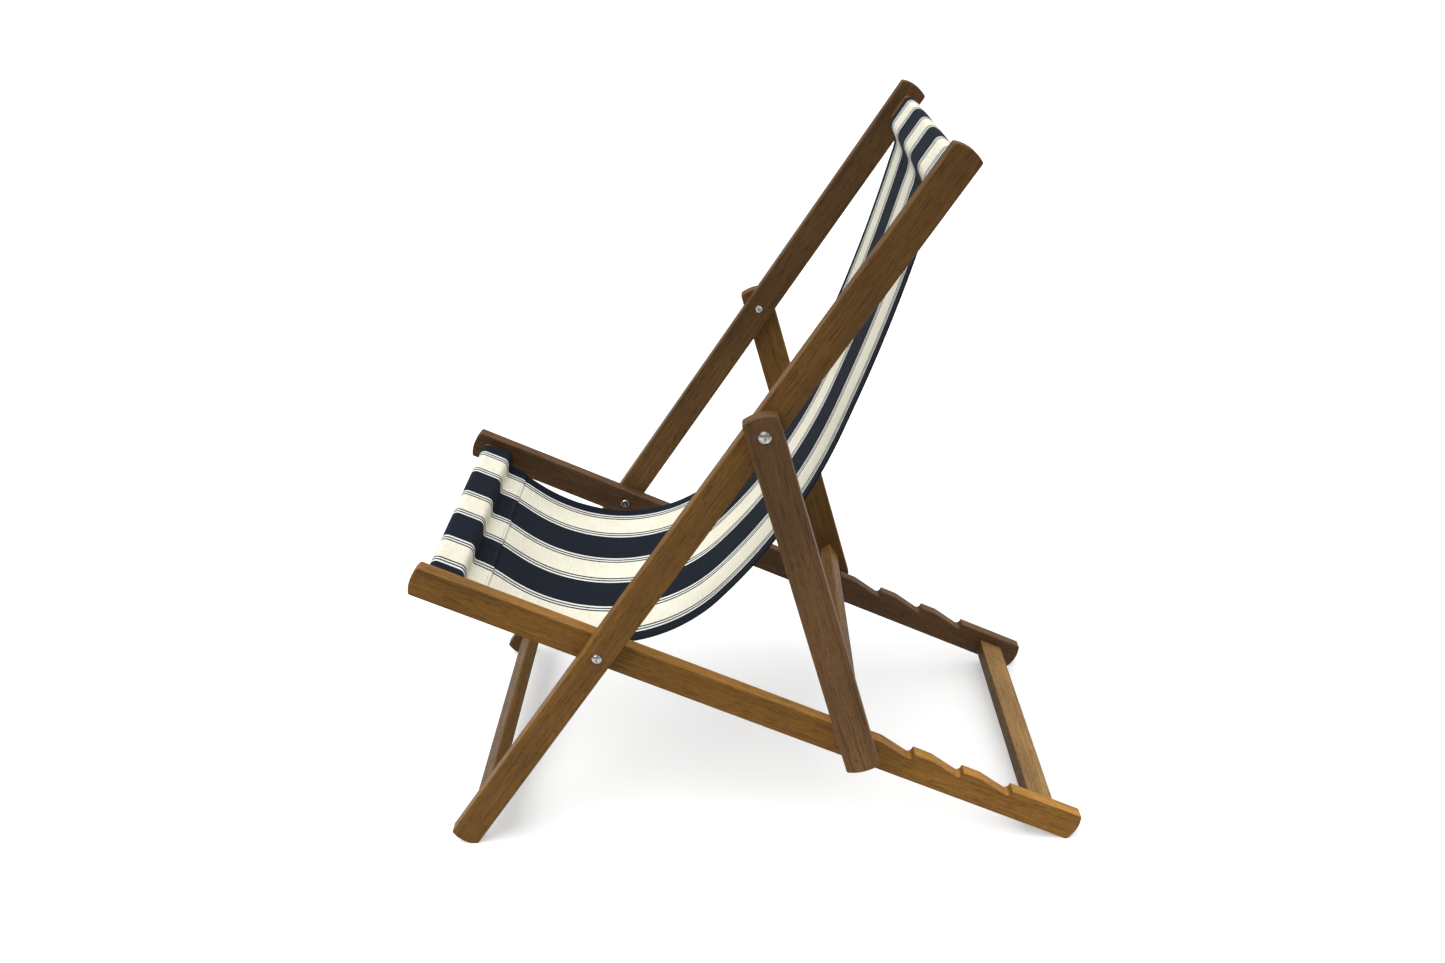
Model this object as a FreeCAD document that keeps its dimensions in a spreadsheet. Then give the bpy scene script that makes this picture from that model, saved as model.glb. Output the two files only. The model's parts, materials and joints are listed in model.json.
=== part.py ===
import FreeCAD, Part
import math
import os
import re
import Sketcher

# Folding deck chair, set up in its most upright position.
# Millimetres. X runs across the chair (+X is the sitter's left), Y runs from the front
# rail to the notched rear ends, Z is up, and the floor is at Z = 0.
#
# Three frames make the chair. Each is drawn along its own rails: "along" is the distance
# from the frame's pivot and "off" is the distance from the rail's centre line, upwards.
#   back frame: its pivot is the frame pivot and it rises to the rear
#   seat frame: it turns on the frame pivot and falls to the rear
#   prop frame: it turns on the prop pivot, high on the back frame, and hangs to the rear

DIMENSIONS = [
    # slopes of the three frames, degrees from level
    ("back_slope", 56.7),
    ("seat_slope", -23.4),
    ("prop_slope", -73.6),
    # the frame pivot, from the middle of the chair's length and from the floor
    ("pivot_rear", -227.6),
    ("pivot_height", 324.5),
    ("prop_pivot_along", 412),
    # rails: one stock thickness, side by side with a thin gap
    ("rail_thick", 21),
    ("rail_gap", 1.5),
    ("seat_inner", 228.5),
    ("back_width", 43),
    ("seat_width", 46),
    ("prop_width", 48),
    ("back_foot", -383),
    ("back_top", 838),
    ("seat_front", -277),
    ("seat_rear", 773),
    ("prop_head", -28.5),
    ("prop_tail", 537),
    ("end_bulge", 5),
    ("corner_round", 4),
    ("edge_round", 2),
    # notches in the seat rails
    ("notch_wall", 405.5),
    ("notch_pitch", 81.5),
    ("notch_count", 4),
    ("notch_depth", 11),
    ("notch_round", 6),
    ("ridge_flat", 22),
    ("ridge_round", 40),
    # cross rails: section, place of the centre, edge rounding
    ("bar_thick", 20.5),
    ("top_rail_width", 43),
    ("top_rail_along", 798.5),
    ("top_rail_off", -4.2),
    ("foot_rail_width", 43),
    ("foot_rail_along", -324.5),
    ("foot_rail_off", -0.3),
    ("front_rail_width", 45),
    ("front_rail_along", -236.5),
    ("front_rail_off", -2),
    ("rear_rail_width", 43),
    ("rear_rail_along", 717.5),
    ("rear_rail_off", -3),
    ("crossbar_width", 35),
    ("crossbar_thick", 21),
    ("crossbar_along", 483),
    ("crossbar_off", 0),
    ("crossbar_turn", 17),
    ("crossbar_nose", 10),
    ("crossbar_shoulders", 11),
    ("bar_edge", 3),
    ("wrapped_edge", 6),
    # mortises and tenons
    ("tenon_width", 28),
    ("tenon_thick", 12),
    ("tenon_length", 13.5),
    ("tenon_play", 0.1),
    # pivot hardware
    ("shank_radius", 4),
    ("fixed_play", 0.03),
    ("running_play", 0.06),
    ("frame_head_radius", 8.3),
    ("prop_head_radius", 9.4),
    ("head_height", 4.2),
    ("sleeve_radius", 5),
    ("sleeve_length", 14),
    ("nut_head_radius", 6.7),
    ("nut_head_height", 2.5),
    ("nut_head_gap", 0.3),
    ("nut_recess_radius", 7.2),
    ("nut_recess_depth", 2.9),
    ("key_width", 5),
    ("key_depth", 2.2),
    ("nut_edge", 0.9),
    ("nut_web", 1),
    ("tip_setback", 4),
    ("spacer_radius", 9),
    ("spacer_thick", 1.4),
    ("spacer_gap", 0.1),
    # canvas sling: corner points of its hanging line, from the frame pivot, and the
    # radius that rounds each corner
    ("sling_half", 218),
    ("canvas_thick", 1.6),
    ("pocket_play", 0.4),
    ("front_drop_along", -178.7),
    ("front_drop_round", 200),
    ("seat_corner_rear", 24),
    ("seat_corner_up", -90),
    ("seat_corner_round", 234),
    ("waist_corner_rear", 276.5),
    ("waist_corner_up", 182.3),
    ("waist_corner_round", 780),
    ("shoulder_corner_rear", 384.8),
    ("shoulder_corner_up", 466.9),
    ("shoulder_corner_round", 2450),
    ("top_bend_along", 758.5),
    ("top_bend_round", 95),
]

os.makedirs("parts", exist_ok=True)
doc = FreeCAD.newDocument("DeckChair")
sheet = doc.addObject("Spreadsheet::Sheet", "Sheet")
for row, (alias, number) in enumerate(DIMENSIONS, 1):
    sheet.set(f"A{row}", alias)
    sheet.set(f"B{row}", str(number))
    sheet.setAlias(f"B{row}", alias)
doc.recompute()

CUT_LEAD = 6  # how far a cutting outline stands clear of the wood


def value(expression):
    """The number that an expression of the sheet gives now."""
    result = sheet.evalExpression(str(expression))
    return float(getattr(result, "Value", result))


def sized(text):
    """Write a size by its names alone: every named size becomes a cell of the sheet."""
    names = {alias for alias, _ in DIMENSIONS}

    def cell(found):
        word = found.group()
        return f"Sheet.{word}" if word in names else word

    return re.sub(r"(?<![\w.])[a-z_]+", cell, str(text))


def bind(thing, prop, text):
    thing.setExpression(prop, sized(text))


# ---------------------------------------------------------------- places

def frame_pivot():
    return FreeCAD.Vector(0, value("Sheet.pivot_rear"), value("Sheet.pivot_height"))


def slope(frame):
    return value(f"Sheet.{frame}_slope")


def along(frame, distance):
    """A step along a frame's rails."""
    angle = math.radians(slope(frame))
    return FreeCAD.Vector(0, distance * math.cos(angle), distance * math.sin(angle))


def pivot(frame):
    if frame == "prop":
        return frame_pivot() + along("back", value("Sheet.prop_pivot_along"))
    return frame_pivot()


def point(frame, distance, off):
    """A point by its distance along a frame's rails and off their centre line."""
    angle = math.radians(slope(frame))
    across = FreeCAD.Vector(0, -math.sin(angle), math.cos(angle))
    return pivot(frame) + along(frame, distance) + across * off


def laid_along(frame, turn=0):
    """Drawing X runs along the rails, Y off them, and Z across the chair."""
    spread = FreeCAD.Rotation(FreeCAD.Vector(1, 1, 1), 120)
    tilt = FreeCAD.Rotation(FreeCAD.Vector(1, 0, 0), slope(frame) + turn)
    return tilt * spread


# ---------------------------------------------------------------- sketches

def new_body(label):
    body = doc.addObject("PartDesign::Body", label)
    body.Label = label
    return body


def sketch_on(body, name, role="XY_Plane", right="0", up="0", out="0", turn=0):
    """A sketch on one of the body's own planes, shifted by sizes of the sheet."""
    sketch = body.newObject("Sketcher::SketchObject", f"{body.Name}_{name}")
    plane = next(f for f in body.Origin.OriginFeatures if f.Role == role)
    sketch.AttachmentSupport = [(plane, "")]
    sketch.MapMode = "FlatFace"
    spin = FreeCAD.Rotation(FreeCAD.Vector(0, 0, 1), turn)
    sketch.AttachmentOffset = FreeCAD.Placement(FreeCAD.Vector(0, 0, 0), spin)
    for axis, text in zip("xyz", (right, up, out)):
        bind(sketch, f"AttachmentOffset.Base.{axis}", text)
    return sketch


def hold(sketch, name, text, kind, *where):
    """Add one dimension to a sketch and tie it to the sheet."""
    index = sketch.addConstraint(Sketcher.Constraint(kind, *where, value(sized(text))))
    sketch.renameConstraint(index, name)
    bind(sketch, f"Constraints.{name}", text)


def hold_point(sketch, name, geometry, end, right, up):
    hold(sketch, f"{name}_x", right, "DistanceX", -1, 1, geometry, end)
    hold(sketch, f"{name}_y", up, "DistanceY", -1, 1, geometry, end)


def spot(right, up):
    return FreeCAD.Vector(value(sized(right)), value(sized(up)), 0)


def join_ends(sketch, order):
    """Each curve ends where the next one starts."""
    for first, second in zip(order, order[1:] + order[:1]):
        sketch.addConstraint(Sketcher.Constraint("Coincident", first, 2, second, 1))


def draw_polygon(sketch, corners):
    """A closed outline of straight edges through named corners."""
    ends = corners[1:] + corners[:1]
    for start, end in zip(corners, ends):
        sketch.addGeometry(Part.LineSegment(spot(*start), spot(*end)))
    join_ends(sketch, list(range(len(corners))))
    for index, corner in enumerate(corners):
        hold_point(sketch, f"corner_{index}", index, 1, *corner)


def draw_rectangle(sketch, width, height):
    right, up = f"{width} / 2", f"{height} / 2"
    left, down = f"-1 * {width} / 2", f"-1 * {height} / 2"
    draw_polygon(sketch, [(left, down), (right, down), (right, up), (left, up)])


def draw_circle(sketch, radius):
    circle = Part.Circle(FreeCAD.Vector(), FreeCAD.Vector(0, 0, 1), value(sized(radius)))
    sketch.addGeometry(circle)
    sketch.addConstraint(Sketcher.Constraint("Coincident", 0, 3, -1, 1))
    hold(sketch, "radius", radius, "Radius", 0)


def draw_rail(sketch, start, end, width):
    """A rail seen from the side: straight edges, and a shallow arc at each end."""
    near, far = f"{start} + end_bulge", f"{end} - end_bulge"
    up, down = f"{width} / 2", f"-1 * {width} / 2"
    arc_radius = f"( {width} * {width} / 4 + end_bulge * end_bulge ) / ( 2 * end_bulge )"
    sketch.addGeometry(Part.LineSegment(spot(near, down), spot(far, down)))
    sketch.addGeometry(Part.Arc(spot(far, down), spot(end, "0"), spot(far, up)))
    sketch.addGeometry(Part.LineSegment(spot(far, up), spot(near, up)))
    sketch.addGeometry(Part.Arc(spot(near, up), spot(start, "0"), spot(near, down)))
    join_ends(sketch, [0, 1, 2, 3])
    hold_point(sketch, "near_low", 0, 1, near, down)
    hold_point(sketch, "far_high", 2, 1, far, up)
    for line in (0, 2):
        sketch.addConstraint(Sketcher.Constraint("Horizontal", line))
    sketch.addConstraint(Sketcher.Constraint("Vertical", 0, 2, 2, 1))
    sketch.addConstraint(Sketcher.Constraint("Vertical", 0, 1, 2, 2))
    for name, arc in (("far_arc", 1), ("near_arc", 3)):
        hold(sketch, name, arc_radius, "Radius", arc)


def draw_notch(sketch):
    """One notch: a steep wall, a round seat, a long ramp and the ridge before it."""
    wall, seat = value("Sheet.notch_wall"), value("Sheet.notch_round")
    top = value("Sheet.seat_width") / 2
    ridge = wall - value("Sheet.notch_pitch") + value("Sheet.ridge_flat")
    crown = value("Sheet.ridge_round")
    seat_centre = FreeCAD.Vector(wall - seat, top - value("Sheet.notch_depth") + seat, 0)
    crown_centre = FreeCAD.Vector(ridge, top - crown, 0)
    span = seat_centre - crown_centre
    # the ramp touches the crown from above and the seat from below
    ramp = math.atan2(span.y, span.x) + math.acos((crown + seat) / span.Length)
    touch = FreeCAD.Vector(math.cos(ramp), math.sin(ramp), 0)
    axis = FreeCAD.Vector(0, 0, 1)
    clear = top + CUT_LEAD
    sketch.addGeometry(Part.LineSegment(spot("notch_wall", clear), spot("notch_wall", seat_centre.y)))
    seat_circle = Part.Circle(seat_centre, axis, seat)
    sketch.addGeometry(Part.ArcOfCircle(seat_circle, ramp + math.pi, 2 * math.pi))
    sketch.addGeometry(Part.LineSegment(seat_centre - touch * seat, crown_centre + touch * crown))
    crown_circle = Part.Circle(crown_centre, axis, crown)
    sketch.addGeometry(Part.ArcOfCircle(crown_circle, ramp, math.pi / 2))
    sketch.addGeometry(Part.LineSegment(spot(ridge, top), spot(ridge, clear)))
    sketch.addGeometry(Part.LineSegment(spot(ridge, clear), spot("notch_wall", clear)))
    for first, first_end, second, second_end in (
        (0, 2, 1, 2),
        (1, 1, 2, 1),
        (2, 2, 3, 1),
    ):
        sketch.addConstraint(
            Sketcher.Constraint("Tangent", first, first_end, second, second_end)
        )
    sketch.addConstraint(Sketcher.Constraint("Coincident", 3, 2, 4, 1))
    sketch.addConstraint(Sketcher.Constraint("Coincident", 4, 2, 5, 1))
    sketch.addConstraint(Sketcher.Constraint("Coincident", 5, 2, 0, 1))
    for line in (0, 4):
        sketch.addConstraint(Sketcher.Constraint("Vertical", line))
    sketch.addConstraint(Sketcher.Constraint("Horizontal", 5))
    sketch.addConstraint(Sketcher.Constraint("Vertical", 3, 3, 3, 2))
    hold_point(sketch, "wall_top", 0, 1, "notch_wall", f"seat_width / 2 + {CUT_LEAD}")
    hold(sketch, "seat", "notch_round", "Radius", 1)
    hold(sketch, "crown", "ridge_round", "Radius", 3)
    hold(sketch, "seat_centre", "seat_width / 2 - notch_depth + notch_round",
         "DistanceY", -1, 1, 1, 3)
    hold_point(sketch, "ridge", 3, 2, "notch_wall - notch_pitch + ridge_flat", "seat_width / 2")


# ---------------------------------------------------------------- features

def pad(body, sketch, length):
    feature = body.newObject("PartDesign::Pad", f"{sketch.Name}_pad")
    feature.Profile = sketch
    bind(feature, "Length", length)
    doc.recompute()
    return feature


def pocket(body, sketch, depth=None):
    """Cut towards +Z of the drawing, to a depth or all the way."""
    before = body.Shape.Volume
    feature = body.newObject("PartDesign::Pocket", f"{sketch.Name}_cut")
    feature.Profile = sketch
    feature.Reversed = True
    if depth is None:
        feature.Type = "ThroughAll"
    else:
        bind(feature, "Length", depth)
    doc.recompute()
    if body.Shape.Volume > before - 1:
        raise RuntimeError(f"{feature.Name} cuts nothing")
    return feature


def edges_where(feature, test):
    edges = enumerate(feature.Shape.Edges, 1)
    return [f"Edge{index}" for index, edge in edges if test(edge)]


def fillet(body, feature, test, radius):
    rounded = body.newObject("PartDesign::Fillet", f"{feature.Name}_round")
    rounded.Base = (feature, edges_where(feature, test))
    bind(rounded, "Radius", radius)
    doc.recompute()
    return rounded


def crosswise(edge):
    """True for an edge that runs across the chair."""
    box = edge.BoundBox
    return box.XLength < 1e-4 and box.YLength < 1e-4 and box.ZLength > 1


def in_a_face(edge):
    """True for an edge that lies flat in one of a rail's two wide faces."""
    return edge.BoundBox.ZLength < 1e-4


# ---------------------------------------------------------------- side rails

FLOOR_REACH = 60  # half the length of the cut that flattens a foot on the floor


def mortise(body, name, bar, turn=0, width="tenon_width"):
    sketch = sketch_on(body, name, right=f"{bar}_along", up=f"{bar}_off", turn=turn)
    draw_rectangle(sketch, f"( {width} + 2 * tenon_play )", "( tenon_thick + 2 * tenon_play )")
    pocket(body, sketch, "tenon_length + 0.5")


def hole(body, name, radius, distance="0", depth=None):
    sketch = sketch_on(body, name, right=distance)
    draw_circle(sketch, radius)
    pocket(body, sketch, depth)


def side_rail(frame, start, end, width, inner_face):
    """A rounded rail on the +X side, with its inner face on the drawing plane."""
    body = new_body(f"{frame}_rail_left")
    sketch = sketch_on(body, "outline")
    draw_rail(sketch, start, end, width)
    blank = pad(body, sketch, "rail_thick")
    blank = fillet(body, blank, crosswise, "corner_round")
    fillet(body, blank, in_a_face, "edge_round")
    place = pivot(frame)
    place.x = value(sized(inner_face))
    body.Placement = FreeCAD.Placement(place, laid_along(frame))
    return body


def flatten_on_floor(body, corners):
    """Cut the rail off at the floor, where it stands."""
    sketch = sketch_on(body, "floor")
    draw_polygon(sketch, corners)
    pocket(body, sketch)


def floor_crossing(frame, off):
    """How far along a steep rail the floor lies, at a distance off its centre line."""
    angle = f"{frame}_slope * 1 deg"
    return f"( -1 * pivot_height - ( {off} ) * cos({angle}) ) / sin({angle})"


def floor_depth(frame, distance):
    """How far below a flat rail's centre line the floor lies."""
    angle = f"{frame}_slope * 1 deg"
    return f"( -1 * pivot_height - ( {distance} ) * sin({angle}) ) / cos({angle})"


BACK_INNER = "( seat_inner + rail_thick + rail_gap )"
PROP_INNER = "( seat_inner + 2 * rail_thick + 2 * rail_gap )"


def back_rail():
    body = side_rail("back", "back_foot", "back_top", "back_width", BACK_INNER)
    low, high = f"-{FLOOR_REACH}", f"{FLOOR_REACH}"
    crossings = floor_crossing("back", low), floor_crossing("back", high)
    flatten_on_floor(body, [
        (f"{crossings[0]} - {FLOOR_REACH}", low),
        (crossings[0], low),
        (crossings[1], high),
        (f"{crossings[1]} - {FLOOR_REACH}", high),
    ])
    hole(body, "frame_hole", "shank_radius + fixed_play")
    hole(body, "prop_hole", "sleeve_radius + fixed_play", "prop_pivot_along")
    hole(body, "nut_recess", "nut_recess_radius", "prop_pivot_along", "nut_recess_depth")
    mortise(body, "top_mortise", "top_rail")
    mortise(body, "foot_mortise", "foot_rail")
    return body


def seat_rail():
    body = side_rail("seat", "seat_front", "seat_rear", "seat_width", "seat_inner")
    near, far = f"seat_rear - {FLOOR_REACH}", f"seat_rear + {FLOOR_REACH}"
    depths = floor_depth("seat", near), floor_depth("seat", far)
    flatten_on_floor(body, [
        (near, f"{depths[0]} - {FLOOR_REACH}"),
        (far, f"{depths[1]} - {FLOOR_REACH}"),
        (far, depths[1]),
        (near, depths[0]),
    ])
    hole(body, "frame_hole", "sleeve_radius + running_play")
    mortise(body, "front_mortise", "front_rail")
    mortise(body, "rear_mortise", "rear_rail")
    sketch = sketch_on(body, "notch")
    draw_notch(sketch)
    notch = pocket(body, sketch)
    one_notch = body.Shape.Volume
    row = body.newObject("PartDesign::LinearPattern", "notch_row")
    row.Originals = [notch]
    row.Direction = (sketch, ["H_Axis"])
    bind(row, "Length", "notch_pitch * ( notch_count - 1 )")
    bind(row, "Occurrences", "notch_count")
    body.Tip = row
    doc.recompute()
    if body.Shape.Volume > one_notch - 1:
        raise RuntimeError("the row of notches cuts nothing")
    return body


def prop_rail():
    body = side_rail("prop", "prop_head", "prop_tail", "prop_width", PROP_INNER)
    hole(body, "prop_hole", "shank_radius + running_play")
    turn = value("Sheet.crossbar_turn")
    mortise(body, "bar_mortise", "crossbar", turn, "( crossbar_width - crossbar_shoulders )")
    return body


# ---------------------------------------------------------------- cross rails

CROSSBAR_REAR = -15  # the crossbar's rear edges lie behind this, and its nose in front of it


def cross_rail(label, frame, bar, half_span, turn=0, thick="bar_thick",
               edges="bar_edge", tenon="tenon_width"):
    """A rail between two side rails, with a tenon at each end."""
    body = new_body(label)
    sketch = sketch_on(body, "section", out=f"-1 * {half_span}")
    draw_rectangle(sketch, f"{bar}_width", thick)
    blank = pad(body, sketch, f"2 * {half_span}")
    if bar == "crossbar":
        blank = fillet(body, blank, lambda e: crosswise(e) and e.CenterOfMass.x > 0, "crossbar_nose")
        fillet(body, blank, lambda e: crosswise(e) and e.CenterOfMass.x < CROSSBAR_REAR, edges)
    else:
        fillet(body, blank, crosswise, edges)
    sketch = sketch_on(body, "tenon", out=f"-1 * {half_span} - tenon_length")
    draw_rectangle(sketch, tenon, "tenon_thick")
    pad(body, sketch, f"2 * {half_span} + 2 * tenon_length")
    centre = point(frame, value(f"Sheet.{bar}_along"), value(f"Sheet.{bar}_off"))
    body.Placement = FreeCAD.Placement(centre, laid_along(frame, turn))
    return body


# ---------------------------------------------------------------- pivot hardware

def turned(label, frame, outline, arc=None):
    """A piece turned about a pivot axis, from an outline of (radius, place across)."""
    body = new_body(label)
    sketch = sketch_on(body, "profile", role="XZ_Plane")
    if arc is None:
        draw_polygon(sketch, outline)
    else:
        draw_domed(sketch, outline, arc)
    feature = body.newObject("PartDesign::Revolution", f"{label}_turned")
    feature.Profile = sketch
    feature.ReferenceAxis = (sketch, ["V_Axis"])
    doc.recompute()
    body.Placement = FreeCAD.Placement(pivot(frame), laid_along(frame))
    return body


def draw_domed(sketch, outline, rise):
    """An outline whose last edge, from rim to axis, is a dome of the given rise."""
    corners = [spot(*corner) for corner in outline]
    rim, top = corners[-1], corners[0] + FreeCAD.Vector()
    for start, end in zip(corners, corners[1:]):
        sketch.addGeometry(Part.LineSegment(start, end))
    rise_now = value(sized(rise))
    outward = math.copysign(1, top.y - rim.y)
    radius = (rim.x ** 2 + rise_now ** 2) / (2 * rise_now)
    centre = FreeCAD.Vector(0, top.y - outward * radius, 0)
    lean = math.atan2(rim.y - centre.y, rim.x)
    halfway = (lean + outward * math.pi / 2) / 2
    middle = centre + FreeCAD.Vector(math.cos(halfway), math.sin(halfway), 0) * radius
    sketch.addGeometry(Part.Arc(rim, middle, top))
    dome = len(corners) - 1
    start_end, top_end = (1, 2) if outward > 0 else (2, 1)
    for index in range(dome - 1):
        sketch.addConstraint(Sketcher.Constraint("Coincident", index, 2, index + 1, 1))
    sketch.addConstraint(Sketcher.Constraint("Coincident", dome - 1, 2, dome, start_end))
    sketch.addConstraint(Sketcher.Constraint("Coincident", dome, top_end, 0, 1))
    for index, corner in enumerate(outline[:-1]):
        hold_point(sketch, f"corner_{index}", index, 1, *corner)
    hold_point(sketch, "rim", dome - 1, 2, *outline[-1])
    radius_text = f"{sized_square(outline[-1][0])} + ( {rise} ) * ( {rise} )"
    hold(sketch, "dome", f"( {radius_text} ) / ( 2 * ( {rise} ) )", "Radius", dome)


def sized_square(text):
    return f"( {text} ) * ( {text} )"


def bolt(label, frame, seat_face, tip_face, head_radius):
    """A dome-headed bolt: its head bears on the outer face, its tip is in the nut."""
    return turned(label, frame, [
        ("0", f"{seat_face} + head_height"),
        ("0", f"{tip_face} + tip_setback"),
        ("shank_radius", f"{tip_face} + tip_setback"),
        ("shank_radius", seat_face),
        (head_radius, seat_face),
    ], arc="head_height")


def sleeve_nut(label, frame, face):
    """A nut with a long sleeve, a low head and a six-sided key recess."""
    rim = f"{face} - nut_head_gap"
    crown = f"{rim} - nut_head_height"
    body = turned(label, frame, [
        ("0", crown),
        ("0", f"{rim} + nut_web"),
        ("( shank_radius + fixed_play )", f"{rim} + nut_web"),
        ("( shank_radius + fixed_play )", f"{rim} + sleeve_length"),
        ("sleeve_radius", f"{rim} + sleeve_length"),
        ("sleeve_radius", rim),
        ("nut_head_radius", rim),
        ("nut_head_radius", f"{crown} + nut_edge"),
        ("nut_head_radius - nut_edge", crown),
    ])
    sketch = sketch_on(body, "key", out=crown)
    across = value("Sheet.key_width") / math.sqrt(3)
    for side in range(6):
        start, end = (
            FreeCAD.Vector(across * math.cos(a), across * math.sin(a), 0)
            for a in (math.radians(60 * side), math.radians(60 * side + 60))
        )
        sketch.addGeometry(Part.LineSegment(start, end))
    join_ends(sketch, list(range(6)))
    circle = Part.Circle(FreeCAD.Vector(), FreeCAD.Vector(0, 0, 1), across)
    sketch.addGeometry(circle, True)
    sketch.addConstraint(Sketcher.Constraint("Coincident", 6, 3, -1, 1))
    hold(sketch, "corner_radius", "key_width / sqrt(3)", "Radius", 6)
    for side in range(6):
        sketch.addConstraint(Sketcher.Constraint("PointOnObject", side, 1, 6))
    for side in range(1, 6):
        sketch.addConstraint(Sketcher.Constraint("Equal", 0, side))
    sketch.addConstraint(Sketcher.Constraint("PointOnObject", 0, 1, -1))
    pocket(body, sketch, "key_depth")
    return body


def spacer(label, frame, low):
    """A flat washer that keeps two rails apart."""
    bore = "( shank_radius + fixed_play )"
    return turned(label, frame, [
        (bore, low),
        ("spacer_radius", low),
        ("spacer_radius", f"{low} + spacer_thick"),
        (bore, f"{low} + spacer_thick"),
    ])


# ---------------------------------------------------------------- canvas sling

def rounded_path(corners, radii, shift):
    """Edges of a line with its corners rounded, moved sideways by a shift.

    A positive shift moves the line to the left of its direction, and each arc keeps the
    centre of the unshifted one.
    """
    headings = [
        math.atan2(end.z - start.z, end.y - start.y)
        for start, end in zip(corners, corners[1:])
    ]

    def sideways(heading):
        return FreeCAD.Vector(0, -math.sin(heading), math.cos(heading))

    edges = []
    here = corners[0] + sideways(headings[0]) * shift
    for corner, radius, before, after in zip(corners[1:], radii, headings, headings[1:]):
        turn = after - before
        side = math.copysign(1, turn)
        forward = FreeCAD.Vector(0, math.cos(before), math.sin(before))
        start = corner - forward * (radius * abs(math.tan(turn / 2)))
        centre = start + sideways(before) * (side * radius)
        halfway = before + turn / 2
        points = [
            centre + sideways(heading) * (shift - side * radius)
            for heading in (before, halfway, after)
        ]
        edges.append(Part.LineSegment(here, points[0]).toShape())
        edges.append(Part.Arc(*points).toShape())
        here = points[-1]
    finish = corners[-1] + sideways(headings[-1]) * shift
    edges.append(Part.LineSegment(here, finish).toShape())
    return edges


def hanging_sheet():
    """The single thickness of canvas between the two pockets."""
    base = frame_pivot()

    def corner(name):
        return base + FreeCAD.Vector(
            0, value(f"Sheet.{name}_corner_rear"), value(f"Sheet.{name}_corner_up"))

    half = value("Sheet.canvas_thick") / 2
    under = value("Sheet.bar_thick") / 2 + value("Sheet.pocket_play") + half
    front_off = value("Sheet.front_rail_off") - under
    top_off = value("Sheet.top_rail_off") - under
    corners = [
        point("seat", value("Sheet.front_rail_along"), front_off),
        point("seat", value("Sheet.front_drop_along"), front_off),
        corner("seat"),
        corner("waist"),
        corner("shoulder"),
        point("back", value("Sheet.top_bend_along"), top_off),
        point("back", value("Sheet.top_rail_along"), top_off),
    ]
    bends = ("front_drop", "seat_corner", "waist_corner", "shoulder_corner", "top_bend")
    radii = [value(f"Sheet.{bend}_round") for bend in bends]
    upper = rounded_path(corners, radii, half)
    lower = rounded_path(corners, radii, -half)
    caps = [
        Part.LineSegment(lower[0].Vertexes[0].Point, upper[0].Vertexes[0].Point).toShape(),
        Part.LineSegment(upper[-1].Vertexes[-1].Point, lower[-1].Vertexes[-1].Point).toShape(),
    ]
    outline = Part.Wire(Part.__sortEdges__(upper + lower + caps))
    return Part.Face(outline)


def pocket_ring(frame, bar):
    """The canvas sewn round a rail, seen end on."""
    long_half = value(f"Sheet.{bar}_width") / 2
    short_half = value("Sheet.bar_thick") / 2
    bend = value("Sheet.wrapped_edge")

    def rounded_box(grow):
        box = Part.makePlane(
            2 * (long_half + grow), 2 * (short_half + grow),
            FreeCAD.Vector(-long_half - grow, -short_half - grow, 0))
        solid = box.extrude(FreeCAD.Vector(0, 0, 1))
        posts = [edge for edge in solid.Edges if crosswise_post(edge)]
        return solid.makeFillet(bend + grow, posts)

    play = value("Sheet.pocket_play")
    ring = rounded_box(play + value("Sheet.canvas_thick")).cut(rounded_box(play))
    face = min(ring.Faces, key=lambda f: f.CenterOfMass.z)
    centre = point(frame, value(f"Sheet.{bar}_along"), value(f"Sheet.{bar}_off"))
    face = face.copy()
    face.Placement = FreeCAD.Placement(centre, laid_along(frame))
    return face


def crosswise_post(edge):
    return edge.BoundBox.ZLength > 0.5


def canvas_sling():
    half = value("Sheet.sling_half")
    across = FreeCAD.Vector(2 * half, 0, 0)
    faces = [pocket_ring("seat", "front_rail"), hanging_sheet(), pocket_ring("back", "top_rail")]
    solids = []
    for face in faces:
        face.translate(FreeCAD.Vector(-half, 0, 0))
        solids.append(face.extrude(across))
    sling = solids[0].fuse(solids[1:]).removeSplitter()
    feature = doc.addObject("Part::Feature", "canvas_sling")
    feature.Label = "canvas_sling"
    feature.Shape = sling.Solids[0]
    feature.Placement = FreeCAD.Placement()
    return feature


# ---------------------------------------------------------------- the chair

def other_side(left, label):
    """The same piece on the -X side."""
    mirror = doc.addObject("Part::Mirroring", label)
    mirror.Label = label
    mirror.Source = left
    mirror.Normal = (1, 0, 0)
    mirror.Base = (0, 0, 0)
    return mirror


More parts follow.
